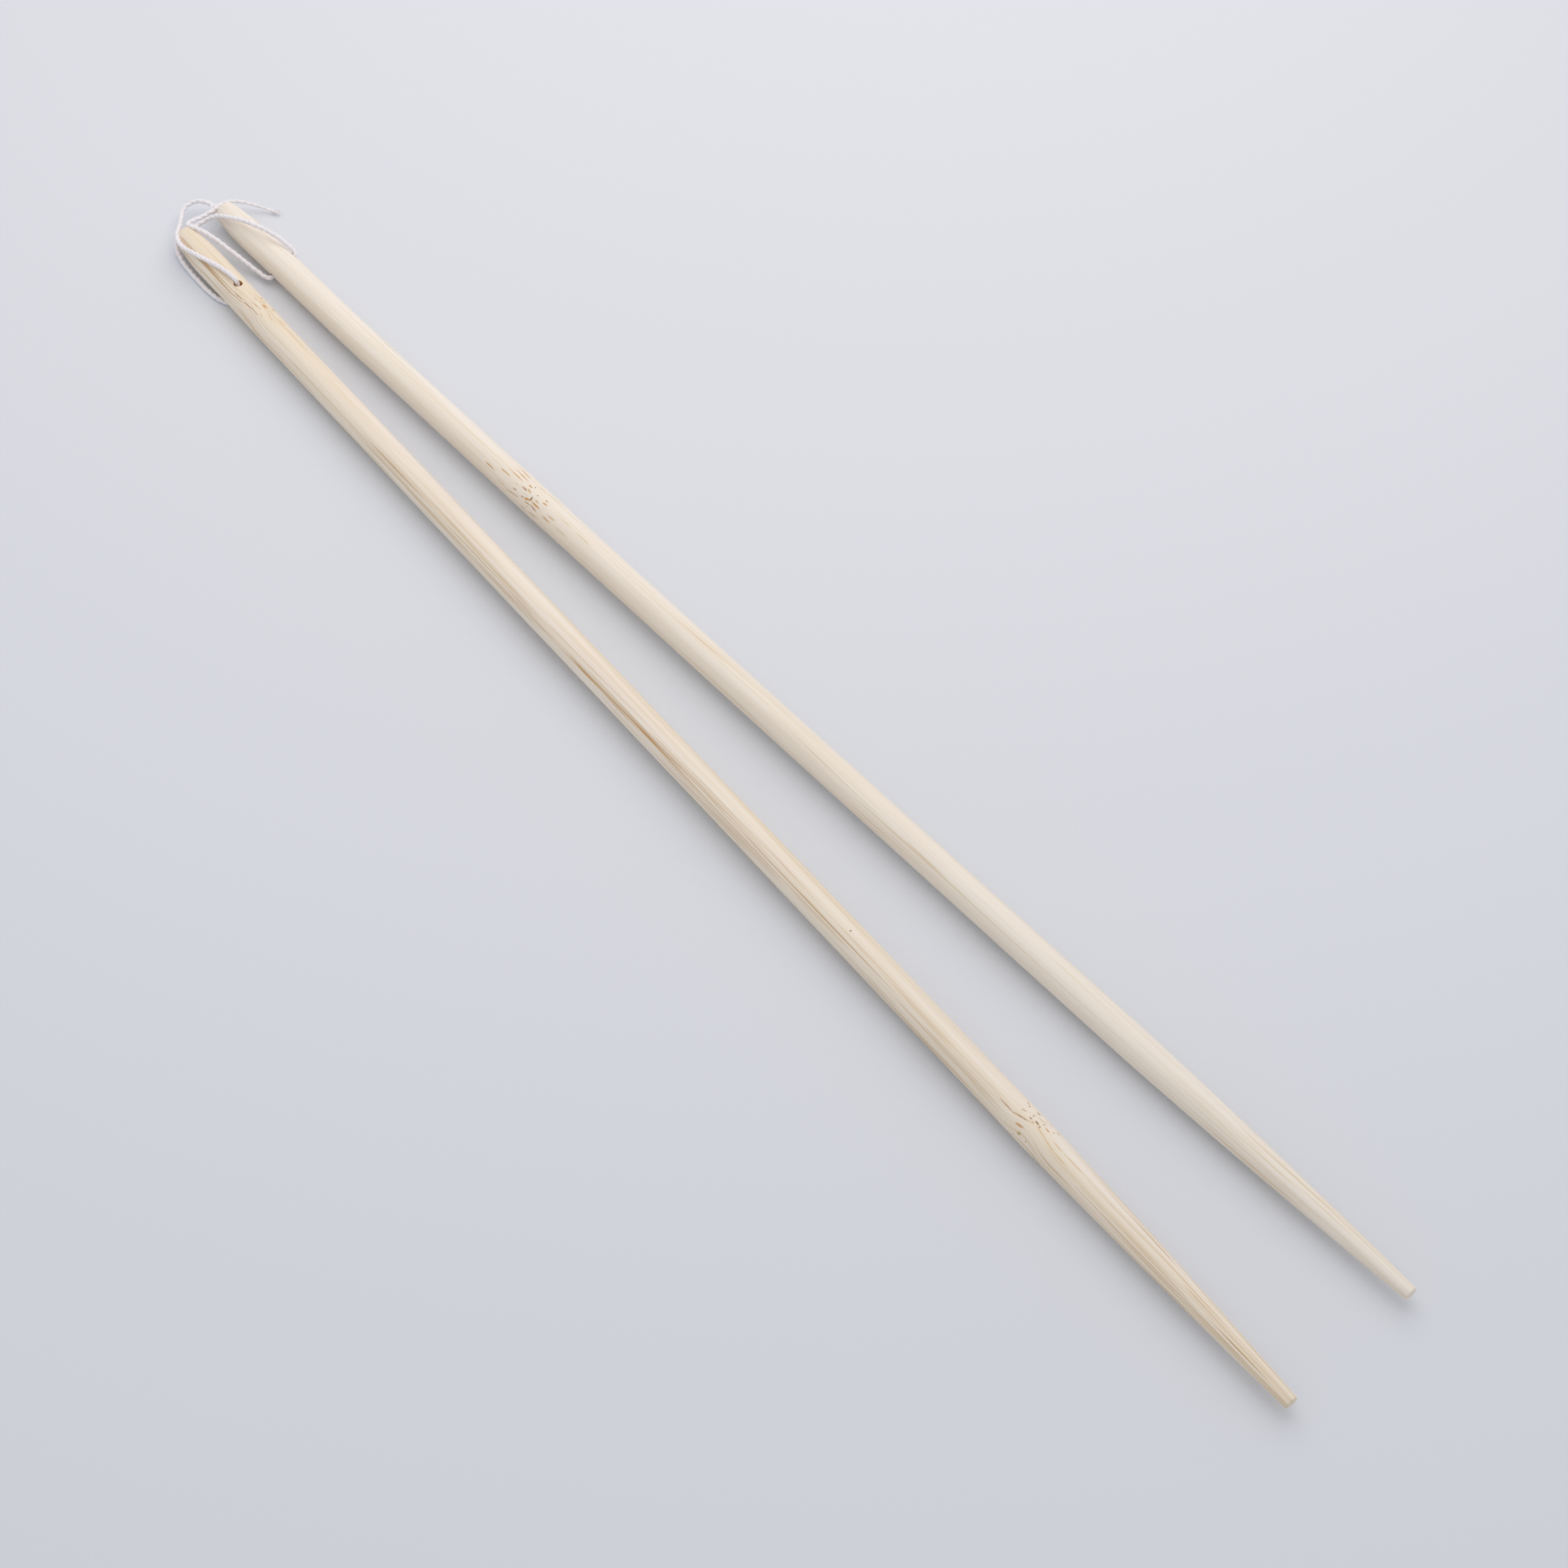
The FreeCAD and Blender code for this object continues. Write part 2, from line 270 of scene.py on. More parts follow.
OVER_RIGHT_STICK = [
    (-160.6, 3.2, 6.4), (-157.6, 4.1, 7.5), (-154.7, 5.1, 8.1), (-151.9, 6.1, 8.2),
    (-149.4, 7.1, 7.7), (-147.4, 8.0, 6.9), (-145.9, 8.6, 5.8), (-144.8, 9.1, 5.0),
]
THROUGH_RIGHT_HOLE = [
    (-143.9, 8.7, 4.2), (-143.9, 6.8, 3.5), (-143.8, 4.8, 2.8), (-143.8, 2.7, 2.0),
]
BETWEEN_THE_STICKS = [
    (-145.0, 1.7, 1.6), (-146.8, 1.5, 1.6), (-149.3, 1.0, 2.0), (-152.2, 0.4, 2.6),
    (-155.3, -0.3, 3.3), (-157.6, -0.9, 4.0), (-159.8, -1.7, 4.8), (-161.4, -2.4, 5.3),
]
ROUND_LEFT_BUTT = [
    (-163.1, -3.1, 5.4), (-164.8, -3.6, 4.9), (-166.1, -3.1, 4.2), (-166.5, -1.8, 3.8),
    (-166.4, -0.3, 3.6), (-166.2, 1.2, 3.6), (-166.2, 2.7, 3.7),
]
TAIL = [
    (-166.4, 4.2, 3.7), (-166.8, 5.7, 3.5), (-166.9, 7.3, 3.1), (-166.4, 8.9, 2.7),
    (-165.2, 10.5, 2.2), (-163.7, 11.9, 1.6), (-162.1, 13.3, 1.0), (-160.5, 14.3, 0.6),
]
ROUTE = (
    HIDDEN_END + LOOSE_ARC + ALONG_LEFT_STICK + DOWN_LEFT_HOLE + BACK_ON_THE_TABLE
    + ACROSS_TO_RIGHT_STICK + OVER_RIGHT_STICK + THROUGH_RIGHT_HOLE + BETWEEN_THE_STICKS
    + ROUND_LEFT_BUTT + TAIL
)
SPLINE_ORDER = 3
SPLINE_DETAIL = 24
STRING_SEED = 7
STRING_DIAMETER = 1.0 * MM
STRING_PITCH = 2.9 * MM         # the length of one turn of its twist
STRING_STEP = 0.12 * MM         # between the rings of vertices along it
STRAND_RADIUS = 0.385           # of the string's diameter
STRAND_OFFSET = 0.125           # of the string's diameter, from its middle to a strand's
STRAND_SIDES = 12
STRAND_WAVES = [(0.06, 1.9 * MM), (0.05, 0.83 * MM)]  # share of its thickness, length
TWIST_DRIFT = 0.35              # in radians, how far the twist wanders
TWIST_WAVE = 7.1 * MM
TAIL_THINNING = 13 * MM         # the last stretch of the string, which gets thinner
TAIL_THINNEST = 0.45            # of its full thickness, at the very end

FUZZ_COUNT = 420
FUZZ_MARGIN = 8                 # points at each end of a line that carry no loose fibre
FUZZ_POINTS = 6
FUZZ_SIDES = 3
FUZZ_ROOT = 0.42                # of the string's diameter, from its middle
FUZZ_REACH = (0.25, 0.6)        # of the string's diameter
FUZZ_DRIFT = (0.5, 1.4)         # along the string, of its reach
FUZZ_LEAN = (-0.7, 0.7)         # round the string, of its reach
FUZZ_CURL = 0.55
FUZZ_RADII = (0.013, 0.006)     # in millimetres, at a fibre's root and at its tip
FUZZ_LOWEST = 0.03 * MM

FRAY_COUNT = 16
FRAY_POINTS = 9
FRAY_SIDES = 5
FRAY_OVERLAP = 0.5              # in millimetres, how far back in the string its fibres start
FRAY_ROOTS = (0.05, 0.36)       # in millimetres from the string's middle
FRAY_SPREAD = 0.55 * MM
FRAY_BEND = (0.2, 1.0)          # outwards, of the spread
FRAY_SWAY = (-0.3, 0.3)         # sideways, of the spread
FRAY_REACH = (1.3, 2.6)         # in millimetres
FRAY_RADII = (0.07, 0.022)      # in millimetres, at a fibre's root and at its tip
FRAY_LOWEST = 0.05 * MM

KNOT_SEED = 11
KNOT_CENTRE = (-167.0, 4.2, 3.1)
KNOT_LOOP = 0.31                # how tightly it is pulled down: its loops' scale in millimetres
KNOT_POINTS = 22
KNOT_STEP = 0.1 * MM
KNOT_DIAMETER = 0.85 * STRING_DIAMETER
KNOT_FUZZ_COUNT = 30
KNOT_TILT = math.radians(35)
KNOT_TURN = math.radians(20)
KNOT_START = 2.2                # where round the loop its first end lies, in radians


def spline_points(name, route_mm):
    """Points along the NURBS spline that has the route's points as its control points."""
    curve = bpy.data.curves.new(name, "CURVE")
    curve.dimensions = "3D"
    spline = curve.splines.new("NURBS")
    spline.points.add(len(route_mm) - 1)
    for point, place in zip(spline.points, route_mm):
        point.co = (place[0] * MM, place[1] * MM, place[2] * MM, 1)
    spline.order_u = SPLINE_ORDER
    spline.use_endpoint_u = True
    spline.resolution_u = SPLINE_DETAIL
    carrier = bpy.data.objects.new(name, curve)
    bpy.context.scene.collection.objects.link(carrier)
    bpy.context.view_layer.update()
    mesh = bpy.data.meshes.new_from_object(carrier)
    points = np.array([vertex.co[:] for vertex in mesh.vertices])
    bpy.data.objects.remove(carrier)
    bpy.data.meshes.remove(mesh)
    bpy.data.curves.remove(curve)
    return points


def even_points(points, step):
    """The same line with its points an even distance apart, and the distance along it."""
    steps = np.linalg.norm(np.diff(points, axis=0), axis=1)
    doubled = np.concatenate([[False], steps <= 1e-9])
    points = points[~doubled]
    along = np.concatenate([[0], np.cumsum(np.linalg.norm(np.diff(points, axis=0), axis=1))])
    count = int(round(along[-1] / step)) + 1
    even = np.linspace(0, along[-1], count)
    return np.stack([np.interp(even, along, points[:, i]) for i in range(3)], axis=1), even


def carried_frames(points):
    """Tangent, side and up along a line, carried without twist."""
    tangents = np.gradient(points, axis=0)
    tangents /= np.linalg.norm(tangents, axis=1)[:, None]
    side = np.cross(tangents[0], (0, 0, 1))
    if np.linalg.norm(side) < 0.1:
        side = np.cross(tangents[0], (0, 1, 0))
    sides = []
    for tangent in tangents:
        side = side - tangent * np.dot(side, tangent)
        side = side / np.linalg.norm(side)
        sides.append(side)
    sides = np.array(sides)
    return tangents, sides, np.cross(tangents, sides)


class StrandMesh:
    """Collects round strands into one mesh."""

    def __init__(self):
        self.verts = []
        self.faces = []
        self.uvs = []
        self.count = 0

    def add(self, centres, along, radii, sides):
        """One closed tube, with its length in millimetres and its turn as its UV map."""
        _, side, up = carried_frames(centres)
        angles = np.arange(sides) * 2 * math.pi / sides
        ring = (side[:, None, :] * np.cos(angles)[None, :, None]
                + up[:, None, :] * np.sin(angles)[None, :, None])
        verts = centres[:, None, :] + ring * radii[:, None, None]
        self.verts.append(verts.reshape(-1, 3))
        base = self.count
        rings = len(centres)
        for i in range(rings - 1):
            for j in range(sides):
                k = (j + 1) % sides
                a, b = base + i * sides, base + (i + 1) * sides
                self.faces.append((a + j, a + k, b + k, b + j))
                u0, u1 = along[i] / MM, along[i + 1] / MM
                v0, v1 = j / sides, (j + 1) / sides
                self.uvs += [(u0, v0), (u0, v1), (u1, v1), (u1, v0)]
        for i, order in ((0, 1), (rings - 1, -1)):
            start = base + i * sides
            self.faces.append(tuple(start + j for j in range(sides))[::-order])
            self.uvs += [(along[i] / MM, 0.5)] * sides
        self.count += rings * sides

    def build(self, name, material):
        return add_mesh(name, np.concatenate(self.verts), self.faces, [material], self.uvs)


def add_twisted(mesh, centres, along, rng, diameter, thinning=0.0):
    """Two strands twisted round one another along a line, uneven as spun cotton is.

    They get thinner over the last stretch, if it has one."""
    _, side, up = carried_frames(centres)
    # the sixth draw is spare; it is taken so that the draws after it stay the same
    wobble = [rng.uniform(0, 2 * math.pi) for _ in range(6)]
    drift = TWIST_DRIFT * np.sin(along / TWIST_WAVE + wobble[0])
    turn = 2 * math.pi * along / STRING_PITCH + drift
    offset = STRAND_OFFSET * diameter
    for ply in range(2):
        phase = turn + ply * math.pi
        uneven = 1
        for first, (share, wave) in zip((1, 3), STRAND_WAVES):
            uneven = uneven + share * np.sin(along / wave + wobble[first + ply])
        radius = STRAND_RADIUS * diameter * uneven
        if thinning > 0:
            to_end = along[-1] - along
            radius = radius * np.clip(
                TAIL_THINNEST + (1 - TAIL_THINNEST) * to_end / thinning, 0, 1)
        line = (centres + side * (offset * np.cos(phase))[:, None]
                + up * (offset * np.sin(phase))[:, None])
        mesh.add(line, along, radius, STRAND_SIDES)


def add_fuzz(mesh, centres, rng, count):
    """Loose cotton fibres that stand a little way out of the string and curl over."""
    tangents, side, up = carried_frames(centres)
    t = np.linspace(0, 1, FUZZ_POINTS)[:, None]
    for _ in range(count):
        at = rng.randrange(FUZZ_MARGIN, len(centres) - FUZZ_MARGIN)
        angle = rng.uniform(0, 2 * math.pi)
        out = side[at] * math.cos(angle) + up[at] * math.sin(angle)
        drift = tangents[at] * rng.choice((-1, 1)) * rng.uniform(*FUZZ_DRIFT)
        across = np.cross(out, tangents[at]) * rng.uniform(*FUZZ_LEAN)
        reach = rng.uniform(*FUZZ_REACH) * STRING_DIAMETER
        start = centres[at] + out * FUZZ_ROOT * STRING_DIAMETER
        line = start + reach * (out * (t - FUZZ_CURL * t * t) + drift * t + across * t * t)
        line[:, 2] = np.maximum(line[:, 2], FUZZ_LOWEST)
        mesh.add(line, t[:, 0] * reach, np.linspace(*FUZZ_RADII, FUZZ_POINTS) * MM, FUZZ_SIDES)


def add_frayed_end(mesh, end, direction, rng):
    """The open end of the string, its fibres loosened into a small brush."""
    side = np.cross(direction, (0, 0, 1))
    side /= np.linalg.norm(side)
    up = np.cross(side, direction)
    t = np.linspace(0, 1, FRAY_POINTS)[:, None]
    for _ in range(FRAY_COUNT):
        angle = rng.uniform(0, 2 * math.pi)
        start = rng.uniform(*FRAY_ROOTS) * MM
        out = side * math.cos(angle) + up * math.sin(angle)
        reach = rng.uniform(*FRAY_REACH) * MM
        bend = rng.uniform(*FRAY_BEND) * FRAY_SPREAD
        line = (end - direction * FRAY_OVERLAP * MM + out * start
                + direction * reach * t + out * bend * t * t
                + side * rng.uniform(*FRAY_SWAY) * FRAY_SPREAD * t ** 3)
        line[:, 2] = np.maximum(line[:, 2], FRAY_LOWEST)
        mesh.add(line, t[:, 0] * reach, np.linspace(*FRAY_RADII, FRAY_POINTS) * MM, FRAY_SIDES)


def make_string():
    """The string, the points along its middle, and its length."""
    rng = random.Random(STRING_SEED)
    points, along = even_points(spline_points("string_route", ROUTE), STRING_STEP)
    mesh = StrandMesh()
    add_twisted(mesh, points, along, rng, STRING_DIAMETER, TAIL_THINNING)
    add_fuzz(mesh, points, rng, FUZZ_COUNT)
    end_direction = points[-1] - points[-4]
    end_direction /= np.linalg.norm(end_direction)
    add_frayed_end(mesh, points[-1], end_direction, rng)
    piece = mesh.build("string", COTTON)
    return piece, points, along[-1]


def make_knot():
    """The knot: the tail thrown once through its own loop and pulled down to a small bead."""
    rng = random.Random(KNOT_SEED)
    turned = Matrix.Rotation(KNOT_TILT, 3, "X") @ Matrix.Rotation(KNOT_TURN, 3, "Z")
    route = []
    for i in range(KNOT_POINTS):
        # most of the way round a trefoil, which is an overhand knot with its ends joined
        t = 2 * math.pi * (0.02 + 0.96 * i / (KNOT_POINTS - 1)) + KNOT_START
        loop = Vector((math.sin(t) + 2 * math.sin(2 * t), math.cos(t) - 2 * math.cos(2 * t),
                       -1.25 * math.sin(3 * t)))
        route.append(Vector(KNOT_CENTRE) + turned @ (loop * KNOT_LOOP))
    points, along = even_points(spline_points("knot_route", route), KNOT_STEP)
    mesh = StrandMesh()
    add_twisted(mesh, points, along, rng, KNOT_DIAMETER)
    add_fuzz(mesh, points, rng, KNOT_FUZZ_COUNT)
    return mesh.build("knot", COTTON)


string, string_line, string_length = make_string()
knot = make_knot()
for piece, node in ((string, "tie_string"), (knot, "string_knot")):
    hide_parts(node)
    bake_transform(piece)

# ----------------------------------------------------------------------------- sticks
# Lengths along and across a stick are in millimetres until it is put in its place.
SPLAY = math.radians(1.57)      # each stick's turn from +X
STICK_LENGTH = 330.0
SHAFT_RADIUS = 3.1
BUTT_RADIUS = 2.25
BUTT_TAPER = 11.0
BUTT_ROUNDING = 0.5
TIP_RADIUS = 1.3
TIP_TAPER = 63.0
TIP_BULGE = 0.24
TIP_ROUNDING = 0.25
HOLE_RADIUS = 0.9
HOLE_FROM_BUTT = 21.3
HOLE_SIDES = 56
HOLE_MOUTH = [(4.2, 1.6), (3.1, 0.97), (2.95, 0.92), (2.8, HOLE_RADIUS)]  # height, radius
AROUND = 120                    # vertices round a stick
BUTT_RINGS = 12
TIP_RINGS = 7
RING_SPACING = [                # from, to and how far apart
    (1.2, 18, 0.4), (18, 25, 0.25), (25, 60, 0.5),
    (60, STICK_LENGTH - TIP_ROUNDING - 0.3, 0.75),
]
END_RING = 0.6                  # an end face's inner ring, of the rim's size
END_RAISED = (-0.05, 0.02)      # along X, for the butt's inner ring and the tip's
LOBES = (2, 3, 5)
LOBE_DEPTH = 0.018
LOBE_SHARE = 0.6
LOBE_WAVES = (35, 70)
LOBE_PHASES = (0, 6.28)
BEND_START = 8                  # from the butt
BEND_EASING = 40
BEND_SKEW = 0.75                # below 1, it puts the most bend nearer to the butt
BEND_RISE = 1.0                 # how far a stick's middle lies above its ends
SHARP_ANGLE = math.radians(38)
MARK_REACH = np.array([0.64, 0.95])  # where a mark has faded out, of its length and width
FAR_FROM_MARKS = 9.0
SCATTERED_LENGTHS = (0.5, 3.0)
SCATTERED_WIDTHS = (0.13, 0.26)
SCATTERED_TILTS = (-9, 9)
REBOUND_PLACE = 1.9             # past a culm's node, of its width
RIPPLE_REACH = 1.6              # of its width
RIPPLE_TURN = 1.3
FIBRES_CUT = (258, 300)         # where the tip's taper starts to cut fibres, and has cut many
THIN_LINES = (0.44, 0.55)       # the levels of the noise that its lines follow
THIN_SHARPNESS = 17
BOLD_LINE = 0.50
# the noise level that the painted highlight next to each bold line follows
PAINTED_HIGHLIGHT_LINE = 0.52
BOLD_SHARPNESS = 58
PROFILE_POINTS = 3301           # one each 0.1 mm


def end_rounding(radius, distance, rounding):
    """A profile radius near an end, eased over by a quarter circle."""
    inside = np.clip(rounding - distance, 0, rounding)
    return radius - rounding + np.sqrt(rounding ** 2 - inside ** 2)


def tapered_radius(s):
    """A stick's radius at the distance s from its butt end, before its ends are rounded."""
    s = np.asarray(s, dtype=float)
    butt_drop = SHAFT_RADIUS - BUTT_RADIUS
    butt = SHAFT_RADIUS - butt_drop * np.clip(1 - s / BUTT_TAPER, 0, 1) ** 2
    part = np.clip((s - (STICK_LENGTH - TIP_TAPER)) / TIP_TAPER, 0, 1)
    tip = SHAFT_RADIUS - (SHAFT_RADIUS - TIP_RADIUS) * part + 4 * TIP_BULGE * part * (1 - part)
    return np.where(s < STICK_LENGTH / 2, butt, tip)


def profile(s):
    """A stick's radius at the distance s from its butt end, in millimetres."""
    s = np.asarray(s, dtype=float)
    radius = tapered_radius(s)
    radius = np.where(s < BUTT_ROUNDING, end_rounding(radius, s, BUTT_ROUNDING), radius)
    return np.where(s > STICK_LENGTH - TIP_ROUNDING,
                    end_rounding(radius, STICK_LENGTH - s, TIP_ROUNDING), radius)


def stations():
    """Where along a stick its rings of vertices lie: closest at its ends and its hole."""
    rounded_butt = BUTT_ROUNDING * (1 - np.cos(np.linspace(0, math.pi / 2, BUTT_RINGS)))
    rounded_tip = TIP_ROUNDING * np.sin(np.linspace(0, math.pi / 2, TIP_RINGS))
    return np.concatenate([
        rounded_butt,
        *(np.arange(start, end, step) for start, end, step in RING_SPACING),
        STICK_LENGTH - TIP_ROUNDING + rounded_tip,
    ])


def stick_mesh(name, plan, material):
    """One stick along its own +X axis, in millimetres, before its hole is drilled."""
    rng = random.Random(plan["seed"])
    s = stations()
    angle = np.arange(AROUND) * 2 * math.pi / AROUND
    radius = profile(s)[:, None] * np.ones(AROUND)[None, :]
    for place, width, height in plan["swellings"]:
        radius += (height * np.exp(-((s - place) / width) ** 2))[:, None]
    # hand finishing leaves the round section very slightly uneven
    for lobes in LOBES:
        phase, wave = rng.uniform(*LOBE_PHASES), rng.uniform(*LOBE_WAVES)
        depth = LOBE_DEPTH * np.sin(s / wave + rng.uniform(*LOBE_PHASES))
        round_it = np.cos(lobes * angle + phase)[None, :]
        depth = (depth * radius[:, 0] / SHAFT_RADIUS)[:, None]
        radius *= 1 + depth * LOBE_SHARE * round_it / lobes
    lean = plan["butt_lean"] * np.clip(1 - s / BUTT_TAPER, 0, 1) ** 2
    verts = np.stack([
        np.repeat(s[:, None], AROUND, axis=1),
        radius * np.cos(angle)[None, :] + lean[:, None],
        radius * np.sin(angle)[None, :],
    ], axis=2).reshape(-1, 3)
    faces = []
    for i in range(len(s) - 1):
        for j in range(AROUND):
            k = (j + 1) % AROUND
            a, b = i * AROUND, (i + 1) * AROUND
            faces.append((a + j, a + k, b + k, b + j))
    centres = [verts[:AROUND].mean(axis=0), verts[-AROUND:].mean(axis=0)]
    # each end face has an inner ring, so that its rim is crisp and its raised middle is flat
    inner = []
    for end, start in enumerate((0, (len(s) - 1) * AROUND)):
        rim = verts[start:start + AROUND]
        ring = centres[end] + (rim - centres[end]) * END_RING
        ring[:, 0] += END_RAISED[end]
        inner.append(ring)
    first = len(verts)
    verts = np.concatenate([verts, inner[0], inner[1]])
    for end, start in enumerate((0, (len(s) - 1) * AROUND)):
        ring = first + end * AROUND
        for j in range(AROUND):
            k = (j + 1) % AROUND
            quad = (start + j, start + k, ring + k, ring + j)
            faces.append(quad[::-1] if end == 0 else quad)
        cap = tuple(ring + j for j in range(AROUND))
        faces.append(cap[::-1] if end == 0 else cap)
    return add_mesh(name, verts, faces, [material])


def drill(stick, lean, material):
    """Cuts the string hole, its mouths eased, at the given lean from upright."""
    levels = [(-z, r) for z, r in HOLE_MOUTH] + HOLE_MOUTH[::-1]
    sides = HOLE_SIDES
    verts = [(r * math.cos(t), r * math.sin(t), z)
             for z, r in levels for t in (2 * math.pi * i / sides for i in range(sides))]
    last = (len(levels) - 1) * sides
    faces = [tuple(range(sides))[::-1], tuple(last + i for i in range(sides))]
    for level in range(len(levels) - 1):
        for i in range(sides):
            k = (i + 1) % sides
            a, b = level * sides, (level + 1) * sides
            faces.append((a + i, a + k, b + k, b + i))
    cutter = add_mesh(stick.name + "_cutter", verts, faces, [material])
    # +Z turned towards +Y by the lean
    cutter.data.transform(Matrix.Translation((HOLE_FROM_BUTT, 0, 0))
                          @ Matrix.Rotation(-math.radians(lean), 4, "X"))
    modifier = stick.modifiers.new("string_hole", "BOOLEAN")
    modifier.object = cutter
    modifier.operation = "DIFFERENCE"
    modifier.solver = "EXACT"
    modifier.material_mode = "TRANSFER"
    drilled = bpy.data.meshes.new_from_object(
        stick.evaluated_get(bpy.context.evaluated_depsgraph_get()))
    stick.modifiers.clear()
    old = stick.data
    stick.data = drilled
    bpy.data.meshes.remove(old)
    bpy.data.objects.remove(cutter)


def grain_coordinates(local, culm_nodes):
    """The stick's own coordinates with the fibres bent at the culm's nodes."""
    s, y, z = local[:, 0], local[:, 1], local[:, 2]
    angle = np.arctan2(z, y)
    radius = SHAFT_RADIUS * np.hypot(y, z) / tapered_radius(s)
    shift = np.zeros_like(s)
    for node in culm_nodes:
        off = s - node["place"]
        t = off / node["width"]
        face = 0.5 + 0.5 * np.cos(angle - node["facing"])
        bulge = np.exp(-t ** 2) - node["rebound"] * np.exp(-(t - REBOUND_PLACE) ** 2)
        ripple = np.exp(-(t / RIPPLE_REACH) ** 2)
        ripple = ripple * np.sin(off / node["ripple"] + RIPPLE_TURN * angle)
        shift += (node["bend"] * bulge + node["wave"] * ripple) * face
    angle = angle + shift / SHAFT_RADIUS
    return np.stack([s, radius * np.cos(angle), radius * np.sin(angle)], axis=1)


def scattered_marks(seed, place, spread, first_turn, last_turn, count):
    """Short flecks strewn round the part of a culm's node that faces away or down."""
    rng = random.Random(seed)
    return [(place + rng.gauss(0, spread), rng.uniform(first_turn, last_turn),
             rng.uniform(*SCATTERED_LENGTHS), rng.uniform(*SCATTERED_WIDTHS),
             rng.uniform(*SCATTERED_TILTS))
            for _ in range(count)]


def add_marks(mesh, local, groups):
    """Lays the small marks of a stick's skin on its mesh, for its material to draw.

    A mark is a thin oval: its distance from the butt, its turn round the stick in degrees, its
    length, its width, and its tilt in degrees.  Each face carries its nearest mark's colour, and
    its corners carry where they lie in that mark: 0 is its middle, and it has faded out at 1."""
    corners = np.empty(len(mesh.loops), dtype=np.int32)
    mesh.loops.foreach_get("vertex_index", corners)
    starts = np.empty(len(mesh.polygons), dtype=np.int32)
    mesh.polygons.foreach_get("loop_start", starts)
    totals = np.empty(len(mesh.polygons), dtype=np.int32)
    mesh.polygons.foreach_get("loop_total", totals)
    owner = np.repeat(np.arange(len(starts)), totals)

    turn = np.degrees(np.arctan2(local[:, 2], local[:, 1]))
    along, turn = local[corners, 0], turn[corners]
    turn -= 360 * np.round((turn - turn[starts][owner]) / 360)
    middle_along = np.add.reduceat(along, starts) / totals
    middle_turn = np.add.reduceat(turn, starts) / totals
    nearest = np.full(len(starts), FAR_FROM_MARKS)
    spot = np.full((len(corners), 3), FAR_FROM_MARKS)
    colour = np.zeros((len(corners), 4))
    for mark_colour, strength, marks in groups:
        for place, degrees, length, width, tilt in marks:
            lean = math.radians(tilt)
            into = np.array([[math.cos(lean), -math.sin(lean)], [math.sin(lean), math.cos(lean)]])
            into /= MARK_REACH * (length, width)
            whole_turns = 360 * np.round((middle_turn - degrees) / 360)

            def in_mark(s, turned):
                round_it = np.radians(turned - degrees) * SHAFT_RADIUS
                return np.stack([s - place, round_it], axis=1) @ into

            far = np.linalg.norm(in_mark(middle_along, middle_turn - whole_turns), axis=1)
            closer = far < nearest
            nearest[closer] = far[closer]
            mine = closer[owner]
            spot[mine, :2] = in_mark(along[mine], (turn - whole_turns[owner])[mine])
            spot[mine, 2] = 0
            colour[mine] = (*mark_colour[:3], strength)
    layer = mesh.attributes.new("mark", "FLOAT_VECTOR", "CORNER")
    layer.data.foreach_set("vector", spot.astype(np.float32).ravel())
    layer = mesh.attributes.new("mark_colour", "FLOAT_COLOR", "CORNER")
    layer.data.foreach_set("color", colour.astype(np.float32).ravel())


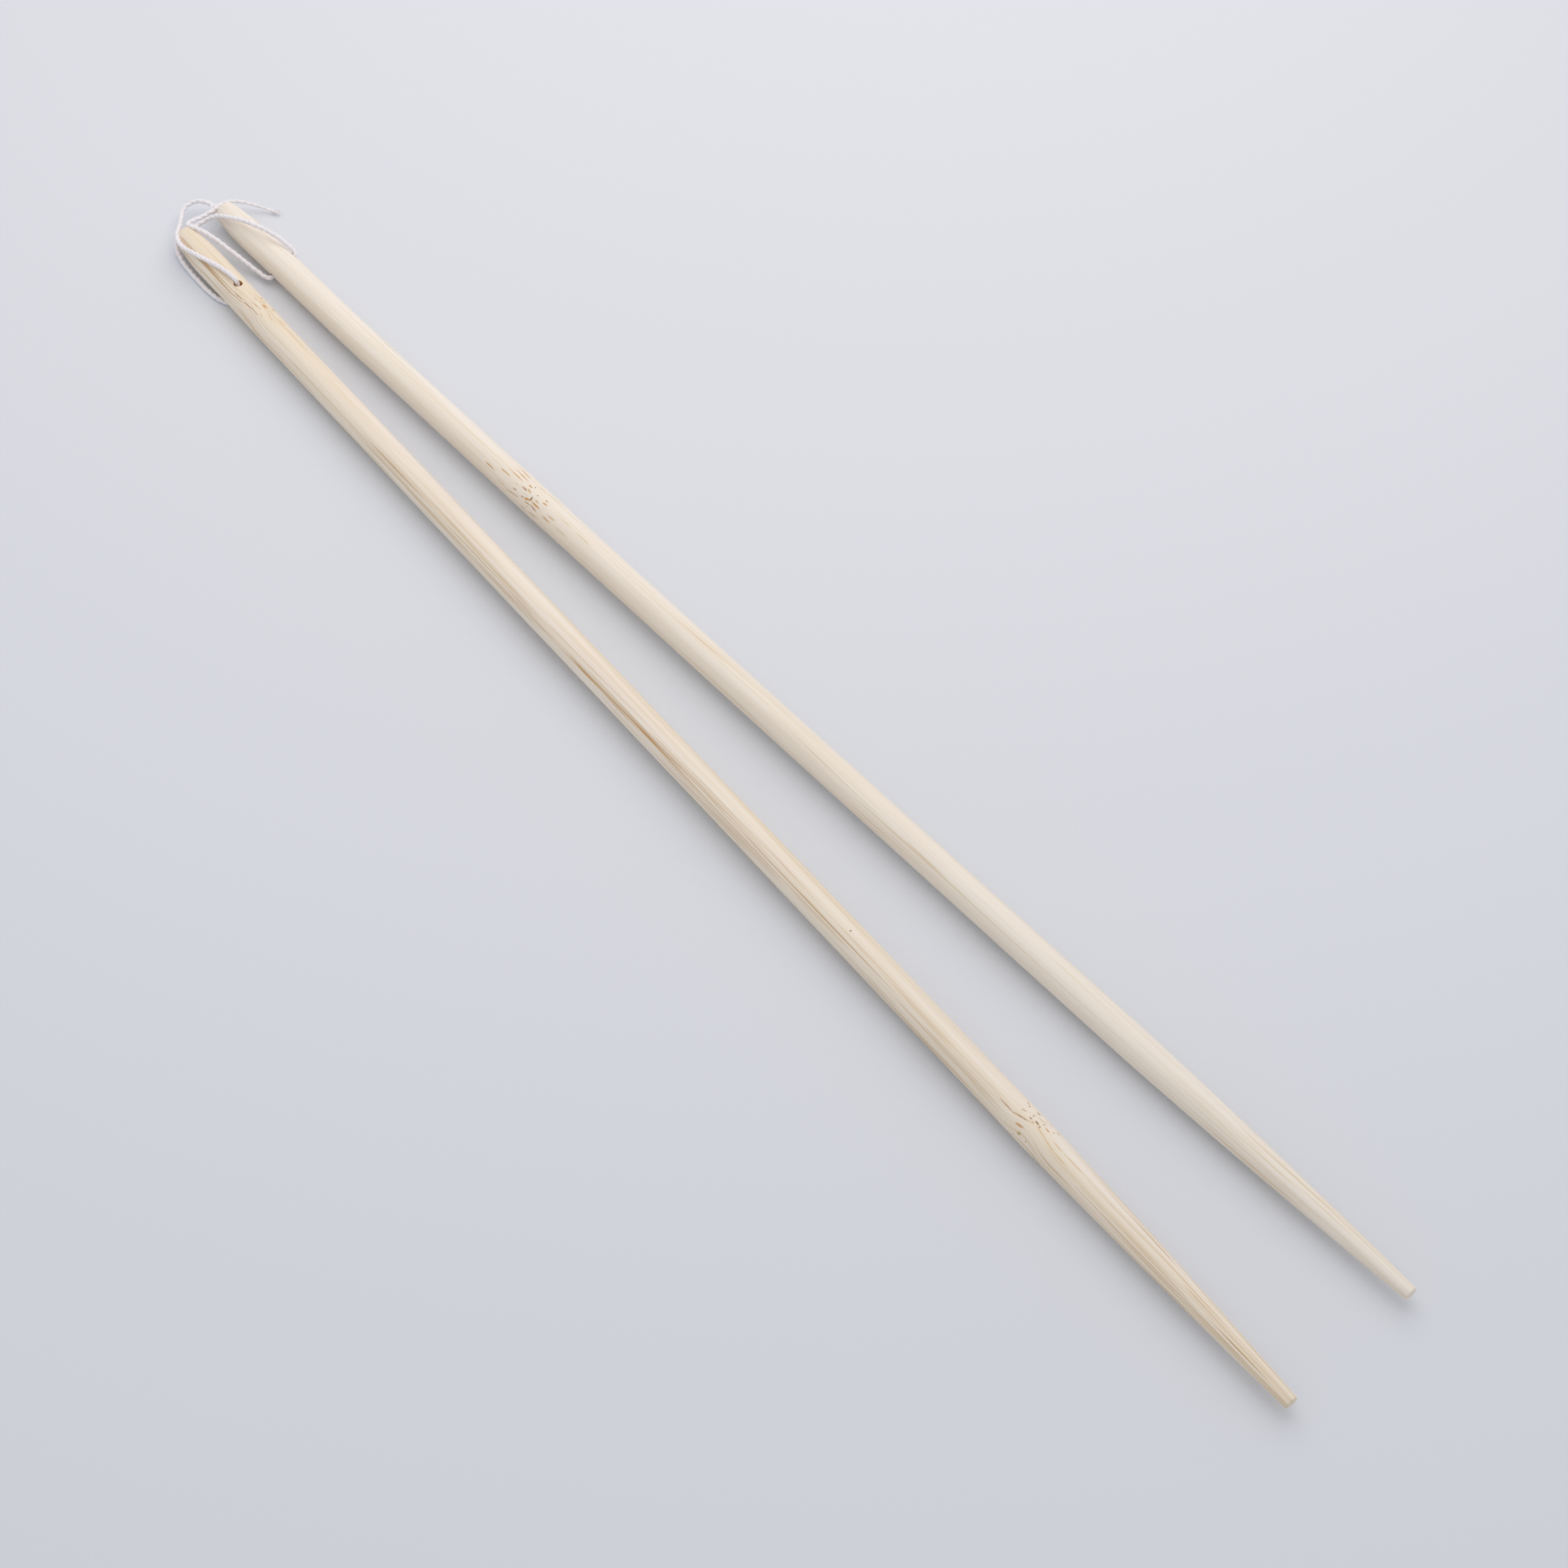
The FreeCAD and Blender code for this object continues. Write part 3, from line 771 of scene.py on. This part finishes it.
def bamboo_material(plan):
    """Bare bamboo: long fibre lines through a pale cream ground, flecks where a node was, and a
    painted highlight, a pale streak painted into the colour, next to each bold line.
    """
    nodes = Nodes(plan["material"])
    grain = nodes.attribute("grain")
    place = nodes.attribute("stick")
    along, across_y, across_z = nodes.split(place)

    # the culm's outer side holds more fibres: lean is largest there
    facing = plan["fibre_side"]
    lean = nodes.math("ADD", nodes.times(across_y, math.cos(facing)),
                      nodes.times(across_z, math.sin(facing)))

    def streaks(length_scale, width_scale, detail=2.0):
        """Noise drawn out along the fibres, its scales per millimetre."""
        scale = (length_scale, width_scale, width_scale)
        return nodes.noise(nodes.scaled(grain, scale, plan["offset"]),
                           detail=detail, roughness=0.55)

    tone = streaks(0.008, 0.30)
    fine_lines = streaks(0.018, 4.6)
    thin_lines = streaks(0.006, 2.3, detail=1.0)
    bold_lines = streaks(0.004, 0.62, detail=1.0)
    breaks = streaks(0.035, 1.1)
    # the tip's taper cuts through the fibres, so their lines show all round it
    cut_fibres = nodes.ramp(along, *FIBRES_CUT, 0.0, 0.8)

    def crease(lines, level, sharpness):
        """A thin line wherever the streaks pass one level."""
        off = nodes.math("ABSOLUTE", nodes.math("SUBTRACT", lines, level))
        return nodes.math("SUBTRACT", 1.0, nodes.times(off, sharpness), clamp=True)

    def broken(lines, gaps, start, full, depths):
        """Lines that stop here and there and show most on the culm's outer side."""
        depth = nodes.math("MAXIMUM", nodes.ramp(lean, start, full, *depths), cut_fibres)
        return nodes.times(nodes.times(lines, nodes.ramp(breaks, *gaps)), depth)

    colour = nodes.mix(nodes.ramp(tone, 0.34, 0.72), plan["pale"], plan["deep"])
    colour = nodes.mix(nodes.ramp(lean, -1.5, 3.4, 0.0, 0.3), colour, plan["deep"])

    fine = nodes.times(nodes.ramp(fine_lines, 0.50, 0.70),
                       nodes.ramp(lean, -2.0, 3.0, *plan["fine_depth"]))
    colour = nodes.mix(fine, colour, plan["fibre"])

    thin = nodes.math("MAXIMUM", *(crease(thin_lines, level, THIN_SHARPNESS)
                                   for level in THIN_LINES))
    thin = broken(thin, (0.42, 0.60), 0.3, 2.9, plan["thin_depth"])
    colour = nodes.mix(thin, colour, plan["line"])

    # a bold line has a painted highlight next to it: a near-white streak painted into the colour
    bold, highlight_mask = (
        broken(crease(bold_lines, level, BOLD_SHARPNESS), (0.38, 0.52), 0.5, 2.8,
               plan["bold_depth"])
        for level in (BOLD_LINE, PAINTED_HIGHLIGHT_LINE))
    colour = nodes.mix(bold, colour, plan["bold"])
    colour = nodes.mix(highlight_mask, colour, plan["painted_highlight"])

    # a mark's edge is rough, and it fades out towards 1
    rough = nodes.noise(nodes.scaled(place, (0.9, 4.0, 4.0)))
    rough = nodes.ramp(rough, 0.3, 0.7, -0.22, 0.22)
    mark = nodes.math("ADD", nodes.length(nodes.attribute("mark")), rough)
    mark = nodes.times(nodes.ramp(mark, 0.35, 1.0, 1.0, 0.0),
                       nodes.attribute("mark_colour", "Alpha"))
    colour = nodes.mix(mark, colour, nodes.attribute("mark_colour", "Color"))

    sunk = nodes.math("ADD", nodes.times(bold, 0.6), nodes.times(thin, 0.3))
    height = nodes.math("SUBTRACT", nodes.times(fine_lines, 0.4), sunk)
    height = nodes.math("SUBTRACT", height, nodes.times(mark, 0.8))
    return nodes.surface({
        "Base Color": colour,
        "Roughness": nodes.ramp(fine_lines, 0.3, 0.75, 0.46, 0.62),
        "Normal": nodes.bump(height, strength=0.5, distance=0.06 * MM),
        "Specular IOR Level": 0.3,
    })


HOLE_AMBER = srgb(196, 136, 52)
HOLE_PALE = srgb(226, 178, 98)


def hole_material():
    """The drilled wall: amber, finely specked."""
    nodes = Nodes("bamboo_hole")
    place = nodes.scaled(nodes.attribute("stick"), (2.0, 2.0, 2.0))
    specks = nodes.noise(place, scale=1.6, detail=3.0, roughness=0.6)
    return nodes.surface({
        "Base Color": nodes.mix(nodes.ramp(specks, 0.35, 0.65), HOLE_AMBER, HOLE_PALE),
        "Roughness": 0.7,
        "Normal": nodes.bump(specks, strength=0.5, distance=0.05 * MM),
        "Specular IOR Level": 0.25,
    })


def butt_centre(node, side):
    """Where a stick's axis meets its butt face, worked out from the box of its CAD solid."""
    low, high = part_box(node)
    line = np.linspace(0, STICK_LENGTH, PROFILE_POINTS)
    inner_side = (line * math.sin(SPLAY) - profile(line) * math.cos(SPLAY)).min()
    inner_edge = high[1] if side < 0 else low[1]
    butt_reach = (profile(line) * math.sin(SPLAY) - line * math.cos(SPLAY)).max()
    return Vector((low[0] + butt_reach * MM, inner_edge - side * inner_side * MM,
                   low[2] + SHAFT_RADIUS * MM))


def place_stick(stick, node, body, side, plan):
    """Bends a finished stick a little sideways and up, as it grew, and lays it where its CAD is."""
    local = np.array([vertex.co[:] for vertex in stick.data.vertices])
    add_vector_attribute(stick.data, "stick", local)
    add_vector_attribute(stick.data, "grain", grain_coordinates(local, plan["culm_nodes"]))
    add_marks(stick.data, local, plan["marks"])
    part = np.clip(local[:, 0] / STICK_LENGTH, 0, 1)
    eased = np.clip((local[:, 0] - BEND_START) / BEND_EASING, 0, 1)
    eased = eased * eased * (3 - 2 * eased)
    bend = np.sin(math.pi * part ** BEND_SKEW) * eased
    local[:, 1] += plan["bow"] * bend
    local[:, 2] += BEND_RISE * bend
    stick.data.vertices.foreach_set("co", local.astype(np.float32).ravel())
    matrix = (Matrix.Translation(butt_centre(node, side))
              @ Matrix.Rotation(side * SPLAY, 4, "Z") @ Matrix.Diagonal((MM, MM, MM, 1)))
    stick.data.transform(matrix)
    stick.data.set_sharp_from_angle(angle=SHARP_ANGLE)
    stick.data.update()
    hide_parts(node)
    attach(stick, body)


HOLE_WALL = hole_material()
TAN, BROWN, DARK = srgb(206, 152, 76), srgb(172, 114, 54), srgb(132, 84, 36)
AMBER, OLIVE, CREAM = srgb(206, 146, 62), srgb(176, 152, 62), srgb(250, 239, 220)

# A swelling is its distance from the butt, its half width and its height.  In a mark's row are
# its distance from the butt, its turn round the stick, its length, its width and its tilt.
LEFT_PLAN = {
    "material": "bamboo_left", "seed": 21, "hole_lean": 6, "butt_lean": 0.30, "bow": -0.6,
    "swellings": [(29, 7, 0.05), (267, 8, 0.07)],
    "culm_nodes": [
        {"place": 28.0, "width": 3.6, "facing": math.radians(150), "bend": 0.75,
         "rebound": 0.35, "wave": 0.13, "ripple": 0.62},
        {"place": 268.3, "width": 3.4, "facing": math.radians(125), "bend": 1.35,
         "rebound": 0.0, "wave": 0.05, "ripple": 0.8},
    ],
    "offset": (3.1, 0.4, 7.7),
    "fibre_side": math.radians(176),
    "pale": srgb(246, 235, 222), "deep": srgb(240, 225, 201),
    "fibre": srgb(222, 200, 168), "line": srgb(204, 168, 110), "bold": srgb(190, 142, 80),
    # the last colour here is the painted highlight, a near-white streak next to each bold line
    "painted_highlight": srgb(252, 246, 234),
    "fine_depth": (0.08, 0.34), "thin_depth": (0.28, 0.95), "bold_depth": (0.2, 0.95),
    "marks": [
        (CREAM, 0.7, [
            (32.3, 121, 2.1, 0.15, 18), (35.5, 130, 4.3, 0.16, 4), (40.4, 129, 5.6, 0.16, -3),
        ]),
        (srgb(222, 190, 136), 0.75, [
            (33.9, 85, 2.2, 0.12, 13), (35.8, 61, 2.8, 0.2, 1), (31.8, 103, 1.2, 0.12, 13),
            (267.4, 95, 1.8, 0.16, -21), (269.5, 95, 3.2, 0.18, 10), (272.3, 105, 3.4, 0.17, 10),
            (275.5, 111, 3.6, 0.14, 2), (266.5, 67, 1.1, 0.18, -29), (268.2, 61, 2.4, 0.19, -5),
            (273.4, 88, 2.7, 0.17, 3), (277.1, 88, 4.6, 0.17, -1),
        ]),
        (AMBER, 0.85, [
            (27.3, 48, 0.9, 0.18, -3), (30.1, 69, 1.5, 0.3, -4), (31.6, 46, 1.2, 0.22, 9),
            (28.4, 66, 0.6, 0.14, -28), (270.1, 74, 1.1, 0.18, 3), (271.0, 61, 0.6, 0.2, -17),
            (271.5, 46, 0.9, 0.2, 9), (266.2, 129, 1.8, 0.28, -9), (267.4, 92, 0.8, 0.14, -12),
        ] + scattered_marks(31, 29, 2.2, 200, 380, 9)
         + scattered_marks(32, 267, 2.6, 190, 390, 12)),
        (BROWN, 0.7, [
            (24.4, 118, 3.4, 0.12, -3), (28.0, 114, 4.4, 0.13, -4), (29.0, 93, 3.2, 0.13, -7),
            (30.2, 113, 2.1, 0.13, 1), (27.3, 76, 1.6, 0.11, -10), (264.9, 85, 1.2, 0.12, -22),
            (262.0, 115, 3.9, 0.13, 0), (265.3, 107, 3.3, 0.2, -15), (264.0, 50, 0.9, 0.15, 16),
            (269.5, 43, 1.0, 0.13, -6),
        ]),
        (OLIVE, 0.8, [
            (267.0, 149, 0.75, 0.46, 0), (268.6, 51, 0.26, 0.24, 0),
        ]),
        (DARK, 0.85, [
            (28.9, 57, 0.34, 0.26, 0), (219.3, 91, 0.34, 0.3, 0), (266.6, 88, 0.7, 0.18, -2),
            (268.0, 83, 1.0, 0.22, 1), (266.7, 51, 0.9, 0.2, 3), (266.6, 75, 0.26, 0.24, 0),
            (264.7, 58, 0.32, 0.28, 0), (268.9, 69, 0.24, 0.22, 0), (268.8, 86, 0.24, 0.22, 0),
            (266.1, 166, 0.24, 0.22, 0), (268.8, 152, 0.2, 0.2, 0),
        ] + scattered_marks(33, 267, 1.8, 200, 380, 4)),
    ],
}
RIGHT_PLAN = {
    "material": "bamboo_right", "seed": 22, "hole_lean": 70, "butt_lean": 0.20, "bow": -1.35,
    "swellings": [(105, 9, 0.07)],
    "culm_nodes": [
        {"place": 105.5, "width": 3.5, "facing": math.radians(150), "bend": 0.35,
         "rebound": 0.0, "wave": 0.08, "ripple": 0.7},
    ],
    "offset": (8.3, 4.9, 1.2),
    "fibre_side": math.radians(150),
    "pale": srgb(247, 238, 227), "deep": srgb(243, 231, 213),
    "fibre": srgb(230, 214, 188), "line": srgb(220, 196, 154), "bold": srgb(212, 180, 128),
    # the last colour here is the painted highlight, a near-white streak next to each bold line
    "painted_highlight": srgb(252, 246, 236),
    "fine_depth": (0.06, 0.2), "thin_depth": (0.35, 0.2), "bold_depth": (0.55, 0.5),
    "marks": [
        (srgb(224, 192, 138), 0.8, [
            (105.8, 64, 2.4, 0.14, -10), (109.4, 54, 4.9, 0.13, -8), (115.4, 100, 5.6, 0.12, 0),
            (120.3, 101, 4.8, 0.12, 1), (115.8, 137, 4.4, 0.13, -1), (103.0, 40, 2.0, 0.13, -1),
            (97.9, 153, 3.4, 0.12, 1), (101.2, 116, 1.6, 0.12, -1),
        ]),
        (TAN, 0.9, [
            (99.7, 93, 4.0, 0.18, 0), (100.3, 77, 4.2, 0.17, 3), (100.6, 60, 4.6, 0.15, 8),
            (97.4, 112, 2.7, 0.15, -2), (93.6, 133, 3.2, 0.19, 0), (103.9, 89, 1.1, 0.22, 5),
            (104.5, 104, 1.2, 0.2, 7), (105.4, 131, 1.9, 0.31, -15), (107.7, 127, 2.8, 0.26, 0),
            (107.5, 114, 1.2, 0.17, 0), (108.8, 88, 0.8, 0.22, 3), (109.1, 101, 1.2, 0.24, -9),
            (111.2, 140, 2.4, 0.17, 2), (112.3, 123, 2.4, 0.14, -1),
        ] + scattered_marks(34, 105, 3.0, 200, 390, 14)),
        (BROWN, 0.8, [
            (101.7, 134, 1.2, 0.17, -5), (101.5, 153, 3.2, 0.14, -7), (103.3, 109, 1.7, 0.3, 2),
            (105.8, 142, 1.7, 0.17, -12), (107.6, 141, 2.1, 0.18, 7), (105.1, 171, 2.5, 0.12, -8),
            (107.8, 165, 3.1, 0.12, -5), (104.1, 136, 1.0, 0.18, -3),
        ] + scattered_marks(35, 105, 2.0, 210, 380, 6)),
        (DARK, 0.9, [
            (106.5, 96, 0.26, 0.24, 0), (104.2, 122, 0.24, 0.22, 0), (104.8, 120, 0.17, 0.15, 0),
            (104.6, 78, 0.26, 0.22, 0), (106.0, 152, 0.22, 0.2, 0), (106.0, 120, 0.8, 0.3, 88),
        ]),
    ],
}

# -1 and 1 say which side of the X axis a stick lies on
for name, node, body, side, plan in (
    ("left_chopstick", "chopstick_left", "left_stick", -1, LEFT_PLAN),
    ("right_chopstick", "chopstick_right", "right_stick", 1, RIGHT_PLAN),
):
    stick = stick_mesh(name, plan, bamboo_material(plan))
    drill(stick, plan["hole_lean"], HOLE_WALL)
    place_stick(stick, node, body, side, plan)

# ----------------------------------------------------------------------------- stage
FLOOR_REACH = 20.0              # from the middle to each side
FLOOR_DROP = 0.06 * MM
FLOOR_COLOUR = (0.75, 0.77, 0.81, 1.0)
WORLD_COLOUR = (0.93, 0.95, 0.99, 1)
WORLD_STRENGTH = 0.645
KEY_COLOUR = (1.0, 0.94, 0.90)
KEY_PLACE = (-0.16, 0.18, 0.41)
KEY_TARGET = (0, 0, 0)
KEY_SIZE = 0.7
KEY_POWER = 1.25


def make_floor():
    """The pale table that the chopsticks lie on."""
    corners = [(x * FLOOR_REACH, y * FLOOR_REACH, 0)
               for x, y in ((-1, -1), (1, -1), (1, 1), (-1, 1))]
    paper = Nodes("floor_paper").surface({
        "Base Color": FLOOR_COLOUR, "Roughness": 0.9, "Specular IOR Level": 0.1,
    })
    floor = add_mesh("floor", corners, [(0, 1, 2, 3)], [paper])
    floor.location.z = -FLOOR_DROP


def add_softbox():
    """The one lamp: a large soft disk above the far side of the butts."""
    data = bpy.data.lights.new("softbox", "AREA")
    data.shape = "DISK"
    data.size = KEY_SIZE
    data.energy = KEY_POWER
    data.color = KEY_COLOUR
    light = bpy.data.objects.new("softbox", data)
    bpy.context.scene.collection.objects.link(light)
    aim(light, KEY_PLACE, KEY_TARGET)


def set_world():
    """Even light from all round."""
    world = bpy.data.worlds.new("studio")
    world.use_nodes = True
    background = world.node_tree.nodes["Background"]
    background.inputs["Color"].default_value = WORLD_COLOUR
    background.inputs["Strength"].default_value = WORLD_STRENGTH
    bpy.context.scene.world = world


make_floor()
set_world()
add_softbox()
